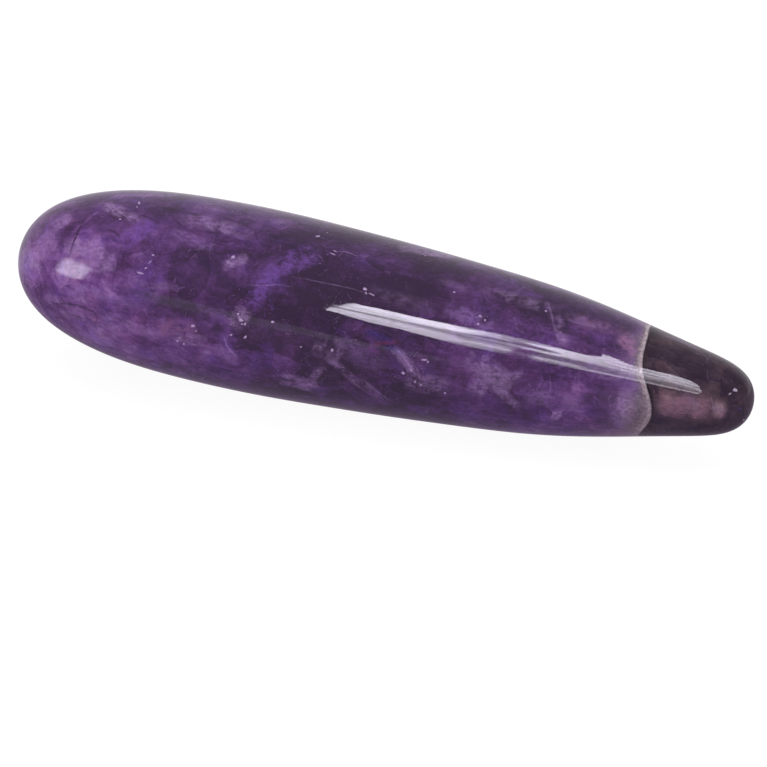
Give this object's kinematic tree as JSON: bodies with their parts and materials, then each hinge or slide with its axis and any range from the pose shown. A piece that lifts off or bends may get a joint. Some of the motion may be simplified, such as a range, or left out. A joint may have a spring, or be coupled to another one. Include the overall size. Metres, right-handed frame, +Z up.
{
  "type": "crystal massage wand",
  "caption": "Polished teardrop massage wand ground from banded amethyst, with a domed palm end, a slim rounded massage tip, a milky quartz band and a smoky quartz end.",
  "frame": {"origin": "centre of the base of the bounding box, on the surface that the wand lies on", "axes": "+X along the lying wand, towards the massage tip; +Y across it; +Z up"},
  "size_m": [0.1098, 0.0268, 0.0266],
  "materials": {
    "amethyst": "polished",
    "milky_quartz": "polished",
    "smoky_quartz": "polished"
  },
  "bodies": {
    "root": {"amethyst_body": "amethyst", "milky_quartz_band": "milky_quartz", "smoky_tip": "smoky_quartz"}
  },
  "joints": []
}
